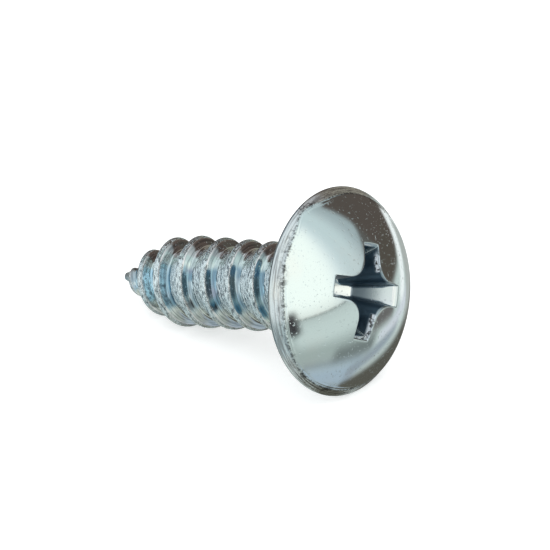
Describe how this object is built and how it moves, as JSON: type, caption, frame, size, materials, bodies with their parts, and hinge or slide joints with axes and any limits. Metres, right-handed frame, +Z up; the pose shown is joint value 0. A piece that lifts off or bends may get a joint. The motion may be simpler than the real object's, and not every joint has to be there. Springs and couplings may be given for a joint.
{
  "type": "sheet metal screw",
  "caption": "Bright zinc-plated tapping screw with a low domed truss head, a cross recess and a sharp point, lying on its side.",
  "frame": {"origin": "bottom centre of the bounding box, on the surface the screw lies on", "axes": "+X along the screw from the point towards the head and level with the surface, the longest extent; +Z up, off the surface; +Y across the screw"},
  "size_m": [0.0142, 0.0092, 0.0089],
  "materials": {
    "zinc_plate": "bright zinc with a clear blue passivate, worn along the thread"
  },
  "bodies": {
    "root": {"screw": "zinc_plate"}
  },
  "joints": []
}
